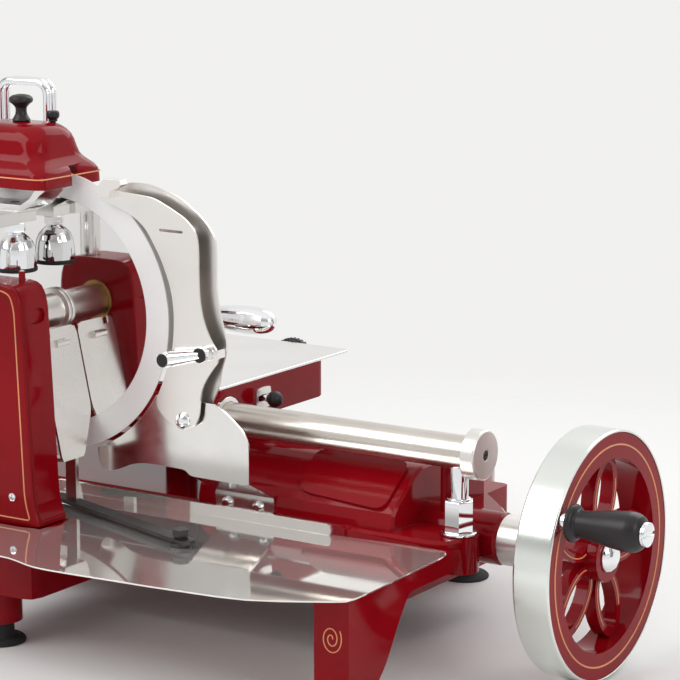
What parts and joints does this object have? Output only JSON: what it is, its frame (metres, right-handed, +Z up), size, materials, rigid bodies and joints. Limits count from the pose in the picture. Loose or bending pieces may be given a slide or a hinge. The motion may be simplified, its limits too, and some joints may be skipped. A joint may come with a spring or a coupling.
{
  "type": "hand crank meat slicer",
  "caption": "Hand cranked slicer: flywheel drives a round blade, carriage on a rail, meat table with press, guard, sharpener and receiving tray",
  "frame": {"origin": "middle of the machine's footprint, on the floor plane the feet stand on", "axes": "X runs along the carriage's rail toward the flywheel, Y runs from the tray side to the carriage side, Z is up"},
  "size_m": [0.932, 0.644, 0.5765],
  "materials": {
    "red_enamel": "glossy deep red enamel with thin gold lines",
    "brushed_steel": "satin brushed",
    "polished_steel": "bright polished",
    "chrome": "mirror plated",
    "dark_steel": "oiled dark steel",
    "black_plastic": "satin moulded",
    "rubber": "matte",
    "bronze": "machined bearing bronze",
    "grindstone": "gritty abrasive stone"
  },
  "bodies": {
    "base": {"base_casting": "red_enamel", "foot_rear_right": "rubber", "foot_rear_left": "rubber", "foot_front_left": "rubber", "foot_front_right": "rubber", "rail_tube": "brushed_steel", "rail_cap_right": "brushed_steel", "rail_cap_left": "brushed_steel", "rail_pillar_right": "chrome", "rail_pillar_left": "chrome", "shaft_bush": "bronze", "drive_chain": "dark_steel", "spindle_bearing": "bronze", "knife_column": "red_enamel", "column_cover": "red_enamel", "receiving_tray": "polished_steel", "lower_knife_plate": "brushed_steel", "plate_bolt_1": "chrome", "plate_bolt_2": "chrome", "guard_pivot_bolt": "chrome", "deflector_stud": "dark_steel", "sharpener_cover": "red_enamel", "sharpener_arm": "brushed_steel"},
    "flywheel": {"main_shaft": "dark_steel", "flywheel_casting": "red_enamel", "flywheel_band": "polished_steel", "flywheel_hub_cap": "chrome", "shaft_collar": "brushed_steel", "crank_stud": "chrome", "crank_grip_cap": "chrome"},
    "grip": {"crank_grip": "black_plastic"},
    "layshaft": {"layshaft": "dark_steel"},
    "cross_shaft": {"cross_shaft": "dark_steel"},
    "blade": {"blade": "polished_steel", "blade_spindle": "brushed_steel", "blade_centre_screw": "chrome"},
    "carriage": {"carriage_body": "red_enamel", "carriage_bush": "polished_steel"},
    "roller": {"carriage_roller": "dark_steel"},
    "table": {"meat_table": "polished_steel", "press_frame": "chrome"},
    "feed_screw": {"feed_screw": "dark_steel", "feed_handwheel": "black_plastic"},
    "press": {"press_arm": "chrome", "press_plate": "brushed_steel", "hand_grip": "chrome"},
    "press_lock_knob": {"press_lock_knob": "black_plastic"},
    "release_knob": {"release_knob": "black_plastic"},
    "thickness_dial": {"thickness_dial": "black_plastic"},
    "guard": {"guard_front_plate": "polished_steel", "guard_rear_plate": "brushed_steel"},
    "guard_lever": {"guard_lever": "chrome"},
    "deflector": {"deflector_plate": "brushed_steel", "deflector_arm": "dark_steel"},
    "sharpener": {"sharpener_knob": "black_plastic", "stone_holder": "dark_steel", "sharpening_stone": "grindstone", "honing_stone": "grindstone"},
    "oil_knob": {"oil_knob": "black_plastic"},
    "grinding_cup": {"grinding_cup": "chrome"}
  },
  "joints": [
    {"name": "flywheel_spin", "type": "hinge", "parent": "base", "child": "flywheel", "pos_m": [0.35395, 0.03702, 0.1313], "axis": [1, 0, 0], "continuous": true},
    {"name": "grip_spin", "type": "hinge", "parent": "flywheel", "child": "grip", "pos_m": [0.41895, -0.06078, 0.18891], "axis": [1, 0, 0], "continuous": true},
    {"name": "layshaft_spin", "type": "hinge", "parent": "base", "child": "layshaft", "pos_m": [-0.07105, 0.09918, 0.09246], "axis": [1, 0, 0], "continuous": true},
    {"name": "cross_shaft_spin", "type": "hinge", "parent": "base", "child": "cross_shaft", "pos_m": [-0.23105, -0.03598, 0.11876], "axis": [0, 1, 0], "continuous": true},
    {"name": "blade_spin", "type": "hinge", "parent": "base", "child": "blade", "pos_m": [-0.23105, -0.08598, 0.342], "axis": [0, 1, 0], "continuous": true},
    {"name": "carriage_slide", "type": "slide", "parent": "base", "child": "carriage", "axis": [1, 0, 0], "range_m": [-0.01, 0.26]},
    {"name": "roller_spin", "type": "hinge", "parent": "carriage", "child": "roller", "pos_m": [-0.25105, 0.16402, 0.1628], "axis": [0, 1, 0], "range_deg": [-45, 1070]},
    {"name": "table_feed", "type": "slide", "parent": "carriage", "child": "table", "axis": [0, -1, 0], "range_m": [0, 0.038]},
    {"name": "feed_screw_turn", "type": "hinge", "parent": "carriage", "child": "feed_screw", "pos_m": [-0.15105, 0.24402, 0.235], "axis": [0, -1, 0], "range_deg": [0, 1368]},
    {"name": "press_lift", "type": "slide", "parent": "table", "child": "press", "axis": [0, 0, 1], "range_m": [-0.03, 0.11]},
    {"name": "press_lock_turn", "type": "hinge", "parent": "press", "child": "press_lock_knob", "pos_m": [-0.34805, -0.01598, 0.333], "axis": [0, 1, 0], "continuous": true},
    {"name": "release_shift", "type": "slide", "parent": "carriage", "child": "release_knob", "axis": [0, 1, 0], "range_m": [-0.007, 0.007]},
    {"name": "thickness_dial_turn", "type": "hinge", "parent": "carriage", "child": "thickness_dial", "pos_m": [-0.40105, 0.06202, 0.235], "axis": [1, 0, 0], "range_deg": [0, 270]},
    {"name": "guard_swing", "type": "hinge", "parent": "base", "child": "guard", "pos_m": [-0.05805, -0.08598, 0.242], "axis": [0, 1, 0], "range_deg": [0, 25]},
    {"name": "guard_lever_turn", "type": "hinge", "parent": "guard", "child": "guard_lever", "pos_m": [-0.02705, -0.09998, 0.317], "axis": [0, 1, 0], "range_deg": [-60, 60]},
    {"name": "deflector_swing", "type": "hinge", "parent": "base", "child": "deflector", "pos_m": [0.00095, -0.17998, 0.143], "axis": [0, 0, 1], "range_deg": [0, 1.5]},
    {"name": "sharpener_lift", "type": "slide", "parent": "base", "child": "sharpener", "axis": [0, 0, 1], "range_m": [0, 0.008]},
    {"name": "oil_knob_turn", "type": "hinge", "parent": "base", "child": "oil_knob", "pos_m": [-0.23805, -0.07598, 0.546], "axis": [0, 0, 1], "continuous": true},
    {"name": "grinding_cup_spin", "type": "hinge", "parent": "base", "child": "grinding_cup", "pos_m": [-0.25605, -0.11998, 0.407], "axis": [0, 0, 1], "continuous": true}
  ],
  "couplings": [
    {"joint": "layshaft_spin", "follows": "flywheel_spin", "ratio": -3},
    {"joint": "cross_shaft_spin", "follows": "flywheel_spin", "ratio": 3},
    {"joint": "blade_spin", "follows": "flywheel_spin", "ratio": 3},
    {"joint": "roller_spin", "follows": "carriage_slide", "rad_per_m": 71.429},
    {"joint": "feed_screw_turn", "follows": "table_feed", "rad_per_m": 628.32}
  ]
}
